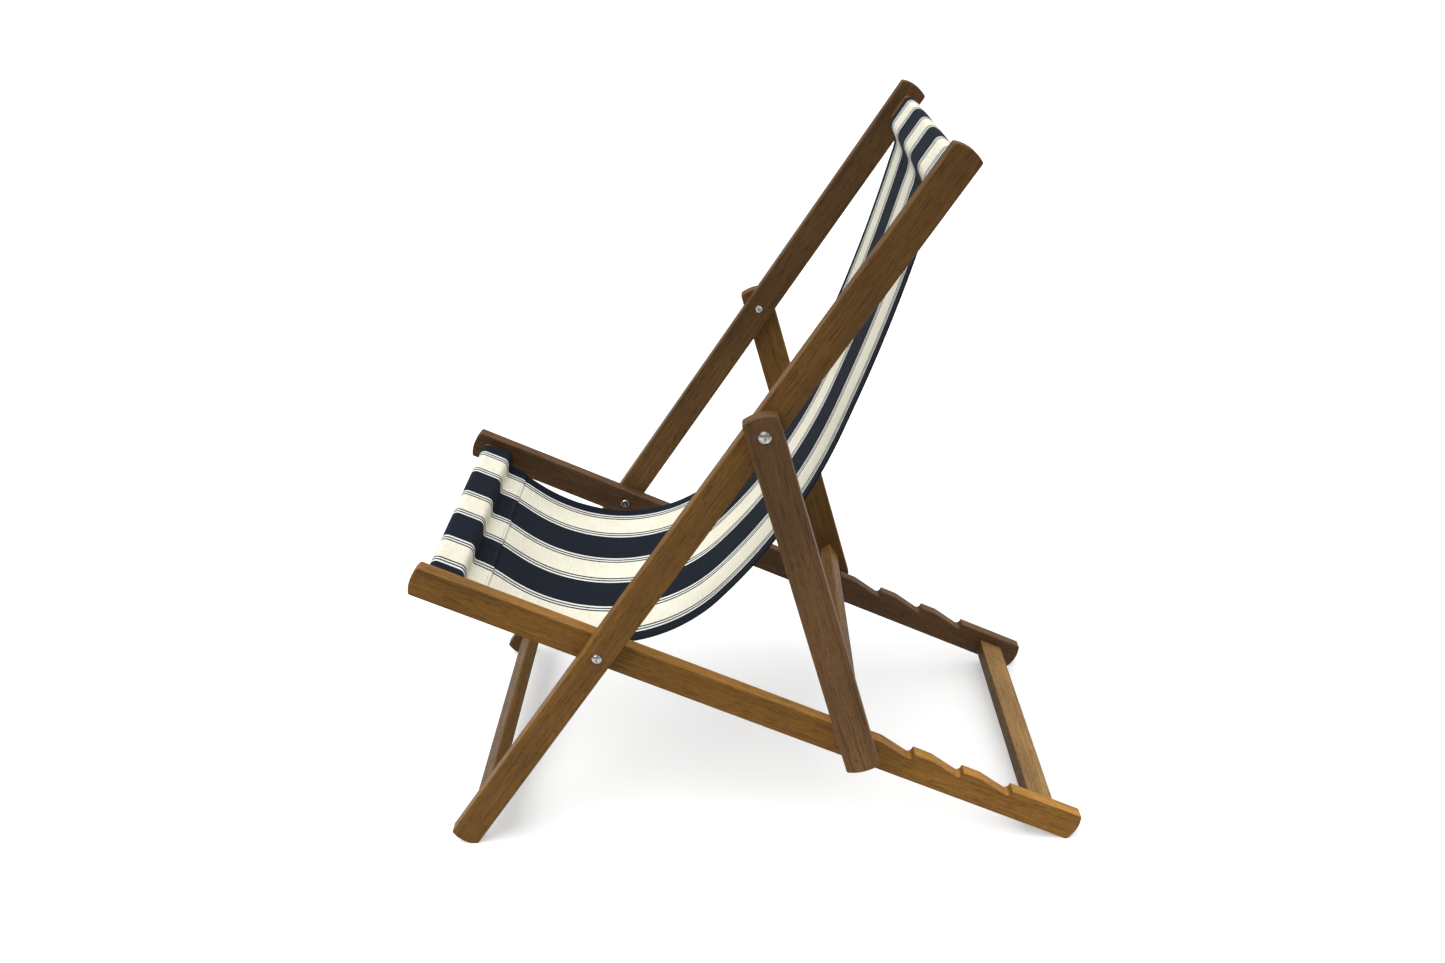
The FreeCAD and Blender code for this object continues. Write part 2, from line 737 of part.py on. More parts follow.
def build():
    back_outer = "( seat_inner + 2 * rail_thick + rail_gap )"
    prop_outer = "( seat_inner + 3 * rail_thick + 2 * rail_gap )"
    seat_outer = "( seat_inner + rail_thick )"
    recess_floor = f"( {BACK_INNER} + nut_recess_depth )"
    pieces = [
        cross_rail("back_top_rail", "back", "top_rail", BACK_INNER, edges="wrapped_edge"),
        cross_rail("back_foot_rail", "back", "foot_rail", BACK_INNER),
        cross_rail("seat_front_rail", "seat", "front_rail", "seat_inner", edges="wrapped_edge"),
        cross_rail("seat_rear_rail", "seat", "rear_rail", "seat_inner"),
        cross_rail("prop_crossbar", "prop", "crossbar", PROP_INNER,
                   turn=value("Sheet.crossbar_turn"), thick="crossbar_thick",
                   tenon="( crossbar_width - crossbar_shoulders )"),
    ]
    left_pieces = [
        back_rail(),
        seat_rail(),
        prop_rail(),
        bolt("frame_pivot_bolt_left", "back", back_outer, "seat_inner", "frame_head_radius"),
        bolt("prop_pivot_bolt_left", "prop", prop_outer, recess_floor, "prop_head_radius"),
        sleeve_nut("frame_pivot_nut_left", "back", "seat_inner"),
        sleeve_nut("prop_pivot_nut_left", "prop", recess_floor),
        spacer("frame_spacer_left", "back", f"{seat_outer} + spacer_gap"),
        spacer("prop_spacer_left", "prop", back_outer),
    ]
    for piece in left_pieces:
        pieces.append(piece)
        pieces.append(other_side(piece, piece.Label.replace("_left", "_right")))
    pieces.append(canvas_sling())
    return pieces


def check_and_write(pieces):
    doc.recompute()
    for thing in doc.Objects:
        if "Invalid" in thing.State or "Error" in thing.State:
            raise RuntimeError(f"{thing.Label} failed: {thing.State}")
    for piece in pieces:
        if piece.Shape.isNull() or not piece.Shape.isValid():
            raise RuntimeError(f"{piece.Label} has no valid shape")
    for piece in pieces:
        piece.Shape.exportStep(f"parts/{piece.Label}.step")


chair = build()
check_and_write(chair)
box = FreeCAD.BoundBox()
for piece in chair:
    box.add(piece.Shape.BoundBox)
print(f"{len(chair)} pieces, box {box}")
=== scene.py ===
import json
import math
import random

import bmesh
import bpy
from mathutils import Matrix, Vector, noise


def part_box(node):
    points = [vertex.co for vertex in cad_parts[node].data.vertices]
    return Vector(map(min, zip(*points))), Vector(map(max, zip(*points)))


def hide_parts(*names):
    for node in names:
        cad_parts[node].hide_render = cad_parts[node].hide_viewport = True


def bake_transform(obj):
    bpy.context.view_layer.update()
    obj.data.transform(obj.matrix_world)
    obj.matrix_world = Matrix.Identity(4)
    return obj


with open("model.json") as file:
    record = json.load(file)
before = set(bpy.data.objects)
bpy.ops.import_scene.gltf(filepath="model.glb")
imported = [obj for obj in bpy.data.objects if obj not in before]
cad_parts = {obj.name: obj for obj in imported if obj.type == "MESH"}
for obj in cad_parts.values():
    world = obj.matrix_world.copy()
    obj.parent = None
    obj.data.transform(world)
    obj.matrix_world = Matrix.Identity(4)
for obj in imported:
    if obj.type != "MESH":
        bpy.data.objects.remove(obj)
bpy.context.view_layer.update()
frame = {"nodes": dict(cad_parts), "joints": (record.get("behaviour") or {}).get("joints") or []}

# Metres and radians. +X is the sitter's left, -Y the front, +Z up, floor at Z = 0.
# "along" runs up or down a frame's rails from its pivot, and "off" is across them, upwards.

MM = 0.001
random.seed(7)

joints = {joint["name"]: joint for joint in frame["joints"]}
FRAME_PIVOT = Vector(joints["seat_fold"]["pos_m"])
PROP_PIVOT = Vector(joints["prop_swing"]["pos_m"])
SLOPE = {
    "back": math.radians(56.7),
    "seat": math.radians(-23.4),
    "prop": math.radians(-73.6),
}
CROSSBAR_TURN = math.radians(17)


def step(slope, along, off=0.0):
    """A move in the side plane: along a slope, and off it to its upper side."""
    c, s = math.cos(slope), math.sin(slope)
    return Vector((0, along * c - off * s, along * s + off * c))


def on_frame(name, along, off=0.0):
    base = PROP_PIVOT if name == "prop" else FRAME_PIVOT
    return base + step(SLOPE[name], along, off)


def box_centre(node):
    low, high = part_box(node)
    return (Vector(low) + Vector(high)) / 2


# ---------------------------------------------------------------- shader nodes

class Nodes:
    """A material's node tree, with short ways to add and join nodes."""

    def __init__(self, name):
        self.material = bpy.data.materials.new(name)
        self.material.use_nodes = True
        self.tree = self.material.node_tree
        self.shader = self.tree.nodes["Principled BSDF"]

    def add(self, kind, inputs=None, out=0, **settings):
        node = self.tree.nodes.new("ShaderNode" + kind)
        for key, setting in settings.items():
            setattr(node, key, setting)
        for key, wanted in (inputs or {}).items():
            self.put(node.inputs[key], wanted)
        return node.outputs[out]

    def put(self, socket, wanted):
        if isinstance(wanted, bpy.types.NodeSocket):
            self.tree.links.new(wanted, socket)
        else:
            socket.default_value = wanted

    def math(self, operation, *numbers, clamp=False):
        inputs = dict(enumerate(numbers))
        return self.add("Math", inputs, operation=operation, use_clamp=clamp)

    def remap(self, source, low, high, to_low=0.0, to_high=1.0):
        """A smooth rise of source from low to high."""
        wanted = {"Value": source, 1: low, 2: high, 3: to_low, 4: to_high}
        return self.add("MapRange", wanted, interpolation_type="SMOOTHSTEP")

    def noise(self, vector, scale, detail=2.0, roughness=0.5, distortion=0.0):
        inputs = {
            "Vector": vector,
            "Scale": scale,
            "Detail": detail,
            "Roughness": roughness,
            "Distortion": distortion,
        }
        return self.add("TexNoise", inputs)

    def stretch(self, vector, scale, offset=(0, 0, 0)):
        inputs = {"Vector": vector, "Scale": scale, "Location": offset}
        return self.add("Mapping", inputs)

    def mix(self, factor, first, second, blend="MIX"):
        inputs = {0: factor, 6: first, 7: second}
        return self.add("Mix", inputs, out=2, data_type="RGBA", blend_type=blend)

    def bump(self, height, strength, distance, normal=None):
        inputs = {"Height": height, "Strength": strength, "Distance": distance}
        if normal is not None:
            inputs["Normal"] = normal
        return self.add("Bump", inputs)

    def finish(self, **inputs):
        for key, wanted in inputs.items():
            self.put(self.shader.inputs[key.replace("_", " ")], wanted)
        return self.material


def rgb(red, green, blue):
    """A colour given as it looks on a screen, 0 to 255, as linear light."""
    def linear(level):
        level = level / 255
        return level / 12.92 if level <= 0.04045 else ((level + 0.055) / 1.055) ** 2.4
    return (linear(red), linear(green), linear(blue), 1.0)


# ---------------------------------------------------------------- wood

# Each piece's main colour, and how bright it is at its low end and its high end (a cross
# rail's ends are its right and its left). The change from end to end is partly the wood's
# tone and partly painted shade.
WOODS = {
    "back_rail_left": (rgb(120, 85, 39), 1.24, 0.66),
    "back_rail_right": (rgb(96, 69, 38), 1.06, 0.94),
    "back_top_rail": (rgb(110, 79, 44), 1.0, 1.0),
    "back_foot_rail": (rgb(98, 71, 31), 1.0, 1.0),
    "seat_rail_left": (rgb(140, 99, 43), 1.24, 0.84),
    "seat_rail_right": (rgb(91, 65, 41), 1.12, 0.70),
    "seat_front_rail": (rgb(130, 91, 42), 1.0, 1.0),
    "seat_rear_rail": (rgb(127, 97, 57), 1.0, 1.06),
    "prop_rail_left": (rgb(114, 83, 51), 1.12, 0.70),
    "prop_rail_right": (rgb(119, 85, 39), 1.0, 0.94),
    "prop_crossbar": (rgb(121, 88, 46), 1.0, 1.0),
}
SHADED_FRONTS = {"seat_rear_rail": 0.5}  # painted shade: how bright a rail's face towards the sitter's front is painted


def scaled(colour, *by):
    """A colour made lighter or darker, channel by channel."""
    return tuple(level * factor for level, factor in zip(colour, by)) + (1.0,)


def wood(node, centre, slope, crosswise, width, thick, span, seed):
    """Straight-grained oiled hardwood for one rail.

    The texture lies in the rail's own directions: across the chair, and along and off its
    slope. crosswise says that the grain runs across the chair. span is where the rail's two
    ends are along its grain.
    """
    n = Nodes(node)
    main, low_level, high_level = WOODS[node]
    dark = scaled(main, 0.54, 0.52, 0.50)
    light = scaled(main, 1.48, 1.46, 1.40)
    pore = scaled(main, 0.42, 0.40, 0.38)
    end = scaled(main, 0.86, 0.86, 0.9)
    pale_wear_and_highlight = scaled(main, 1.6, 1.75, 2.1)
    coordinates = n.tree.nodes.new("ShaderNodeTexCoord")
    moved = n.add("VectorMath", {0: coordinates.outputs["Object"], 1: centre}, operation="SUBTRACT")
    turn = (-slope, 0, 0)
    place = n.add("Mapping", {"Vector": moved, "Rotation": turn})
    facing = n.add("Mapping", {"Vector": coordinates.outputs["Normal"], "Rotation": turn})
    across, along, off = n.add("SeparateXYZ", {0: place}).node.outputs
    face_across, face_along, _ = n.add("SeparateXYZ", {0: facing}).node.outputs
    _, rearward, upward = n.add("SeparateXYZ", {0: coordinates.outputs["Normal"]}).node.outputs

    def grain(fine, long, detail, distortion=0.0, roughness=0.55):
        scale = (long, fine, fine) if crosswise else (fine, long, fine)
        offset = (seed * 3.1, seed * 1.7, seed * 2.3)
        lines = n.stretch(place, scale, offset)
        return n.noise(lines, 1.0, detail, roughness, distortion)

    # broad growth bands and fine streaks, wavering slowly down the rail
    broad = grain(55, 1.3, 4, 0.5)
    streaks = grain(330, 6, 4, 0.2, 0.6)
    level = n.math("MULTIPLY_ADD", broad, 0.5, n.math("MULTIPLY", streaks, 0.5))
    colour = n.mix(n.remap(level, 0.32, 0.50), dark, main)
    colour = n.mix(n.remap(level, 0.50, 0.68), colour, light)

    # open pores: short dark dashes
    dashes = n.remap(grain(900, 70, 2, 0.0, 0.5), 0.56, 0.66)
    long_dashes = n.remap(grain(480, 26, 2, 0.0, 0.5), 0.58, 0.66)
    pores = n.math("MAXIMUM", dashes, long_dashes)
    colour = n.mix(n.math("MULTIPLY", pores, 0.66), colour, pore)

    # silky flecks where the rays come to the surface, and slow changes of tone
    flecks = n.remap(grain(760, 120, 2, 0.3), 0.62, 0.72)
    colour = n.mix(n.math("MULTIPLY", flecks, 0.22), colour, pale_wear_and_highlight)
    shade = n.remap(n.noise(n.stretch(place, (1, 1, 1), (seed, 0, 0)), 6, 3), 0.3, 0.7, 0.86, 1.12)
    # lighter or darker from one end of the rail to the other: partly the wood's tone, partly painted
    # shade
    run = across if crosswise else along
    tone = n.remap(run, span[0], span[1], low_level, high_level)
    # faces that look up are painted lighter: painted light from above
    painted_top_light = n.remap(upward, 0.45, 0.92, 1.0, 1.45)
    brightness = n.math("MULTIPLY", n.math("MULTIPLY", shade, tone), painted_top_light)
    # painted shade: the face towards the sitter's front is darker
    if node in SHADED_FRONTS:
        painted_front_shade = n.remap(rearward, -0.85, -0.4, SHADED_FRONTS[node], 1.0)
        brightness = n.math("MULTIPLY", brightness, painted_front_shade)
    grey = n.add("CombineColor", {0: brightness, 1: brightness, 2: brightness})
    colour = n.mix(1.0, colour, grey, "MULTIPLY")

    ends = face_across if crosswise else face_along
    end_mask = n.remap(n.math("ABSOLUTE", ends), 0.62, 0.9)
    rings = n.noise(n.stretch(place, (380, 380, 380)), 1.0, 3)
    end_colour = n.mix(n.remap(rings, 0.35, 0.65), dark, end)
    colour = n.mix(n.math("MULTIPLY", end_mask, 0.8), colour, end_colour)

    # the eased arris is paler: partly worn-off oil, partly a painted highlight where its rounding
    # catches the light
    if crosswise:
        first, second = along, off
    else:
        first, second = off, across
    near = n.remap(n.math("ABSOLUTE", first), width / 2 - 2.0 * MM, width / 2 - 0.5 * MM)
    side = n.remap(n.math("ABSOLUTE", second), thick / 2 - 1.8 * MM, thick / 2 - 0.5 * MM)
    patchy = n.remap(grain(60, 14, 3), 0.42, 0.62, 0.12, 0.85)
    arris = n.math("MULTIPLY", n.math("MULTIPLY", near, side), patchy)
    colour = n.mix(n.math("MULTIPLY", arris, 0.85), colour, pale_wear_and_highlight)

    # a few fine pale scratches, and small knocks
    scratch_lines = n.stretch(place, (90, 520, 140), (seed, 4, 2))
    scratches = n.remap(n.noise(scratch_lines, 1.0, 2, 0.6, 1.2), 0.70, 0.76)
    knocks = n.remap(n.noise(n.stretch(place, (1, 1, 1), (seed, 8, 5)), 150, 2, 0.5, 0.8), 0.76, 0.80)
    where = n.remap(n.noise(n.stretch(place, (1, 1, 1), (seed, 1, 1)), 9, 1), 0.58, 0.66)
    marks = n.math("MULTIPLY", n.math("MAXIMUM", scratches, knocks), where)
    colour = n.mix(n.math("MULTIPLY", marks, 0.45), colour, pale_wear_and_highlight)

    height = n.math("SUBTRACT", n.math("MULTIPLY", streaks, 0.6), pores)
    rough = n.remap(n.math("ADD", streaks, n.math("MULTIPLY", pores, 0.5)), 0.3, 0.9, 0.50, 0.66)
    return n.finish(
        Base_Color=colour,
        Roughness=rough,
        Normal=n.bump(height, 0.3, 0.10 * MM),
        Specular_IOR_Level=0.22,
    )


def give(node, material):
    """A carried-over CAD piece gets a better material; its shape stays."""
    piece = frame["nodes"][node]
    piece.data.materials.clear()
    piece.data.materials.append(material)


RAIL_THICK = 21 * MM
BAR_THICK = 20.5 * MM
RAIL_WIDTH = {"back": 43 * MM, "seat": 46 * MM, "prop": 48 * MM}
BAR_WIDTH = {
    "back_top_rail": 43 * MM,
    "back_foot_rail": 43 * MM,
    "seat_front_rail": 45 * MM,
    "seat_rear_rail": 43 * MM,
    "prop_crossbar": 35 * MM,
}
RAIL_ENDS = {  # low end and high end, along the slope from the frame's pivot
    "back": (-383 * MM, 838 * MM),
    "seat": (773 * MM, -277 * MM),
    "prop": (537 * MM, -28.5 * MM),
}


def dress_rails():
    seed = 1
    for name in ("back", "seat", "prop"):
        pivot = PROP_PIVOT if name == "prop" else FRAME_PIVOT
        for side in ("left", "right"):
            node = f"{name}_rail_{side}"
            centre = Vector((box_centre(node).x, pivot.y, pivot.z))
            size = (RAIL_WIDTH[name], RAIL_THICK)
            give(node, wood(node, centre, SLOPE[name], False, *size, RAIL_ENDS[name], seed))
            seed += 1


def dress_cross_rails():
    for seed, (node, width) in enumerate(BAR_WIDTH.items(), 20):
        slope = SLOPE[node.split("_")[0]]
        thick = BAR_THICK
        if node == "prop_crossbar":
            slope += CROSSBAR_TURN
            thick = RAIL_THICK
        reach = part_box(node)[1][0]
        give(node, wood(node, box_centre(node), slope, True, width, thick, (-reach, reach), seed))


# ---------------------------------------------------------------- steel

def steel(name, centre, seed, head):
    """Bright plated steel about a pivot axis, with light handling marks.

    head is a pressed bolt head's radius: it is brushed out from its middle, and painted reflections
    darken its middle and a ring round its rim. A turned part has none, and gets fine rings instead.
    """
    n = Nodes(name)
    coordinates = n.tree.nodes.new("ShaderNodeTexCoord")
    moved = n.add("VectorMath", {0: coordinates.outputs["Object"], 1: centre}, operation="SUBTRACT")
    _, y, z = n.add("SeparateXYZ", {0: moved}).node.outputs
    radius = n.math("SQRT", n.math("ADD", n.math("MULTIPLY", y, y), n.math("MULTIPLY", z, z)))
    marks = n.noise(n.stretch(moved, (1, 1, 1), (seed, 0, 0)), 420, 4, 0.65)
    dust = n.remap(n.noise(moved, 160, 3), 0.4, 0.7)
    if head:
        # unit steps round the axis make streaks that run outwards
        round_y, round_z = n.math("DIVIDE", y, radius), n.math("DIVIDE", z, radius)
        around = n.add("CombineXYZ", {0: n.math("MULTIPLY", radius, 40.0), 1: round_y, 2: round_z})
        texture = n.noise(around, 7.0, 3, 0.6)
        depth = 0.5 * MM
    else:
        texture = n.math("SINE", n.math("MULTIPLY", radius, 2 * math.pi / (0.35 * MM)))
        depth = 0.04 * MM
    tint = n.mix(dust, rgb(206, 205, 198), rgb(166, 163, 154))
    streak = n.remap(texture, 0.35, 0.65)
    colour = n.mix(n.math("MULTIPLY", streak, 0.8 if head else 0.35), tint, rgb(84, 84, 80))
    rough = n.math("ADD", n.remap(marks, 0.35, 0.7, 0.10, 0.24), n.math("MULTIPLY", dust, 0.08))
    if head:
        # painted reflections: a darker ring round the rim and a darker middle
        dark_rim_reflection = n.remap(radius, head - 1.8 * MM, head - 0.4 * MM, 0.0, 0.9)
        dark_middle_reflection = n.remap(radius, 0.5 * MM, 3.4 * MM, 0.6, 0.0)
        colour = n.mix(n.math("MAXIMUM", dark_rim_reflection, dark_middle_reflection), colour, rgb(48, 46, 42))
    fine = n.bump(marks, 0.12, 0.05 * MM)
    return n.finish(
        Base_Color=colour,
        Metallic=1.0,
        Roughness=rough,
        Normal=n.bump(texture, 0.25, depth, fine),
    )


FRAME_HEAD_RADIUS = 8.3 * MM
PROP_HEAD_RADIUS = 9.4 * MM


def dress_hardware():
    pivots = (("frame", FRAME_PIVOT, FRAME_HEAD_RADIUS), ("prop", PROP_PIVOT, PROP_HEAD_RADIUS))
    for place, pivot, head in pivots:
        for side in ("left", "right"):
            for seed, kind in enumerate(("pivot_bolt", "pivot_nut", "spacer")):
                node = f"{place}_{kind}_{side}"
                centre = Vector((0, pivot.y, pivot.z))
                give(node, steel(node, centre, seed, head if kind == "pivot_bolt" else None))


# ---------------------------------------------------------------- canvas

SLING_HALF = 218 * MM
CLOTH_THICK = 1.1 * MM
NAVY_START = 40 * MM  # from the middle of a cream stripe
STRIPE_PITCH = 153.5 * MM
PIN_LINES = (26.9 * MM, 33.9 * MM)
PIN_HALF = 1.75 * MM
THREAD = 0.85 * MM
HEM_WIDTH = 12 * MM


def canvas_material(name):
    """Plain-weave cotton with woven stripes; the stripes run along the cloth."""
    n = Nodes(name)
    coordinates = n.tree.nodes.new("ShaderNodeTexCoord")
    u, v, _ = n.add("SeparateXYZ", {0: coordinates.outputs["UV"]}).node.outputs
    cloth = n.add("CombineXYZ", {0: u, 1: v})
    wobble = n.noise(n.stretch(cloth, (900, 700, 1)), 1.0, 2)
    shifted = n.math("MULTIPLY_ADD", n.math("SUBTRACT", wobble, 0.5), 0.25 * MM, u)
    size = n.math("ABSOLUTE", shifted)
    outer = n.math("ABSOLUTE", n.math("SUBTRACT", size, STRIPE_PITCH))
    from_middle = n.math("MINIMUM", size, outer)

    ramp = n.tree.nodes.new("ShaderNodeValToRGB")
    ramp.color_ramp.interpolation = "CONSTANT"
    span = 50 * MM
    cream, white = rgb(238, 235, 217), rgb(236, 238, 233)
    ink, navy = rgb(26, 28, 34), rgb(22, 29, 40)
    bands = [(0.0, cream)]
    for line in PIN_LINES:
        bands += [(line - PIN_HALF, ink), (line + PIN_HALF, white)]
    bands.append((NAVY_START, navy))
    stops = ramp.color_ramp.elements
    while len(stops) < len(bands):
        stops.new(0.5)
    for stop, (start, colour) in zip(stops, bands):
        stop.position = start / span
        stop.color = colour
    n.put(ramp.inputs[0], n.math("DIVIDE", from_middle, span))

    # threads: warp and weft cross over and under each other
    turn = math.pi / THREAD
    warp = n.math("SINE", n.math("MULTIPLY", u, turn))
    weft = n.math("SINE", n.math("MULTIPLY", v, turn))
    over = n.math("MULTIPLY", warp, weft)
    warp_round = n.math("ABSOLUTE", warp)
    weft_round = n.math("ABSOLUTE", weft)
    over_mask = n.remap(over, -0.15, 0.15)
    height = n.add("Mix", {0: over_mask, 2: warp_round, 3: weft_round}, data_type="FLOAT")

    # slubs and faint bars where the yarn is uneven
    slub_warp = n.noise(n.stretch(cloth, (1100, 26, 1)), 1.0, 3)
    slub_weft = n.noise(n.stretch(cloth, (26, 1100, 1)), 1.0, 3)
    slub = n.math("ADD", slub_warp, slub_weft)
    yarn = n.remap(slub, 0.7, 1.3, 0.90, 1.12)
    # painted shade between the threads: the weave's gaps are darker
    gap_shade = n.remap(height, 0.0, 0.6, 0.84, 1.04)
    soft = n.remap(n.noise(cloth, 9, 3), 0.3, 0.7, 0.97, 1.03)
    level = n.math("MULTIPLY", n.math("MULTIPLY", yarn, gap_shade), soft)
    shading = n.add("CombineColor", {0: level, 1: level, 2: level})
    colour = n.mix(1.0, ramp.outputs[0], shading, "MULTIPLY")

    # pale lint that shows on the navy
    lint = n.remap(n.noise(n.stretch(cloth, (700, 420, 1)), 1.0, 2, 0.6, 0.8), 0.72, 0.78)
    colour = n.mix(n.math("MULTIPLY", lint, 0.06), colour, rgb(200, 200, 196))

    # creases pressed in by folding, too fine for the mesh
    crease = n.noise(n.stretch(cloth, (10, 30, 1)), 1.0, 5, 0.6, 1.4)
    normal = n.bump(crease, 0.22, 1.2 * MM)
    normal = n.bump(n.math("ADD", height, n.math("MULTIPLY", slub, 0.5)), 0.45, 0.16 * MM, normal)
    return n.finish(
        Base_Color=colour,
        Roughness=0.88,
        Normal=normal,
        Specular_IOR_Level=0.08,
        Sheen_Weight=0.03,
        Sheen_Roughness=0.5,
    )


def thread_material(name, shade, bright):
    """Twisted sewing thread."""
    n = Nodes(name)
    coordinates = n.tree.nodes.new("ShaderNodeTexCoord")
    twist = n.noise(n.stretch(coordinates.outputs["Object"], (2600, 2600, 2600)), 1.0, 2)
    return n.finish(
        Base_Color=n.mix(twist, shade, bright),
        Roughness=0.75,
        Normal=n.bump(twist, 0.4, 0.1 * MM),
        Specular_IOR_Level=0.25,
    )


# The cloth's line from the front pocket's flap to the top pocket's flap, seen from the
# side: corners, each with the radius that rounds it. Positions are on a frame's own
# slopes where the cloth follows a rail, and from the frame pivot where it hangs free.
FLAP = 26 * MM
LAYER = CLOTH_THICK + 0.25 * MM  # between the middles of two layers sewn together
WRAP_PLAY = 0.5 * MM  # between a rail and the cloth round it
FRONT_SLACK = 1.2 * MM  # more play over a rail's upper face, in its pocket
TOP_SLACK = 0.4 * MM


def rail_faces(node, name):
    """Where the cloth lies round a cross rail: its low and high place along and off."""
    offset = box_centre(node) - FRAME_PIVOT
    c, s = math.cos(SLOPE[name]), math.sin(SLOPE[name])
    along, off = offset.y * c + offset.z * s, -offset.y * s + offset.z * c
    half_width, half_thick = BAR_WIDTH[node] / 2, BAR_THICK / 2
    wrap = WRAP_PLAY + CLOTH_THICK / 2
    return (
        along - half_width - wrap,
        along + half_width + wrap,
        off - half_thick - wrap,
        off + half_thick + wrap,
    )


def hanging(rear, up):
    return FRAME_PIVOT + Vector((0, rear * MM, up * MM))


# the span's ends, along the seat frame and along the back frame
SPAN_START = -178.7 * MM
SPAN_END = 758.5 * MM

# the span's corners between them, from the frame pivot
SEAT = hanging(24, -90)
WAIST = hanging(276.5, 182.3)
SHOULDER = hanging(384.8, 466.9)


def cloth_corners():
    """(corner, radius) pairs, and the numbers of the corners where the hanging span starts and ends."""
    near, far, low, high = rail_faces("seat_front_rail", "seat")
    valley = far + 7 * MM
    seam = on_frame("seat", SPAN_START, low)
    fall = SEAT - seam
    heading = math.atan2(fall.z, fall.y)
    corners = [
        (seam + step(heading, FLAP * 0.2, LAYER), 0),
        (on_frame("seat", valley + 14 * MM, low + LAYER), 30 * MM),
        (on_frame("seat", valley, low + LAYER), 6 * MM),
        (on_frame("seat", far, high + FRONT_SLACK), 10 * MM),
        (on_frame("seat", near, high + FRONT_SLACK), 9 * MM),
        (on_frame("seat", near, low), 8 * MM),
    ]
    first = len(corners)
    corners += [
        (seam, 150 * MM),
        (SEAT, 234 * MM),
        (WAIST, 780 * MM),
        (SHOULDER, 2450 * MM),
    ]
    near, far, low, high = rail_faces("back_top_rail", "back")
    bend = on_frame("back", SPAN_END, low)
    last = len(corners)
    down = (SHOULDER - bend).normalized()
    across = Vector((0, down.z, -down.y))
    corners += [
        (bend, 95 * MM),
        (on_frame("back", far, low), 7.5 * MM),
        (on_frame("back", far, high + TOP_SLACK), 8 * MM),
        (on_frame("back", near - 3 * MM, high + TOP_SLACK), 15 * MM),
        (bend + step(SLOPE["back"], 2 * MM, LAYER), 18 * MM),
        (bend + down * FLAP + across * -LAYER, 0),
    ]
    return corners, first, last


def add_run(points, end, longest):
    """A straight run of points from the last one to the end."""
    start = points[-1].copy()
    count = max(1, math.ceil((end - start).length / longest))
    points += [start.lerp(end, k / count) for k in range(1, count + 1)]


def rounded_line(corners, longest):
    """Points along the rounded line, and the place in the list where each corner's bend starts."""
    points = [corners[0][0].copy()]
    marks = [0]
    for (before, _), (here, radius), (after, _) in zip(corners, corners[1:], corners[2:]):
        start, finish = (before - here).normalized(), (after - here).normalized()
        turn = math.pi - start.angle(finish)
        reach = radius * math.tan(turn / 2)
        centre = here + (start + finish).normalized() * (radius / math.cos(turn / 2))
        add_run(points, here + start * reach, longest)
        marks.append(len(points))
        spoke = points[-1] - centre
        axis = spoke.cross(here + finish * reach - centre).normalized()
        steps = max(2, math.ceil(turn / BEND_STEP), math.ceil(radius * turn / longest))
        for k in range(1, steps + 1):
            points.append(centre + Matrix.Rotation(turn * k / steps, 3, axis) @ spoke)
    add_run(points, corners[-1][0], longest)
    marks.append(len(points) - 1)
    return points, marks


BEND_STEP = math.radians(14)
COLUMNS = 64
ROW_STEP = 6.5 * MM


def cloth_grid(line):
    """The cloth as one open sheet of squares, with lengths in metres as its UVs."""
    mesh = bpy.data.meshes.new("sling_canvas")
    verts, faces = [], []
    lengths = [0.0]
    for a, b in zip(line, line[1:]):
        lengths.append(lengths[-1] + (b - a).length)
    for point in line:
        for column in range(COLUMNS + 1):
            x = SLING_HALF * (2 * column / COLUMNS - 1)
            verts.append((x, point.y, point.z))
    width = COLUMNS + 1
    for row in range(len(line) - 1):
        for column in range(COLUMNS):
            corner = row * width + column
            faces.append((corner, corner + 1, corner + width + 1, corner + width))
    mesh.from_pydata(verts, [], faces)
    uv = mesh.uv_layers.new(name="cloth")
    for loop in mesh.loops:
        row, column = divmod(loop.vertex_index, width)
        uv.data[loop.index].uv = (SLING_HALF * (2 * column / COLUMNS - 1), lengths[row])
    sling = bpy.data.objects.new("sling_canvas", mesh)
    bpy.context.scene.collection.objects.link(sling)
    return sling, lengths


def loosen(sling, first, last):
    """Give the hanging span a little uneven slack before it drops."""
    width = COLUMNS + 1
    for row in range(first, last):
        rise = math.sin(math.pi * (row - first) / (last - first))
        for column in range(width):
            vert = sling.data.vertices[row * width + column]
            place = Vector((vert.co.x * 9, row * 0.05, 3.0))
            edge = abs(vert.co.x / SLING_HALF) ** 6
            wave = noise.noise(place) * 2.2 * MM + edge * noise.noise(place * 2.3) * 3 * MM
            vert.co.z += wave * min(1, 5 * rise)
            vert.co.y += wave * 0.5 * min(1, 5 * rise)


SETTLE_FRAMES = 24
MOST_MOVE = 5 * MM


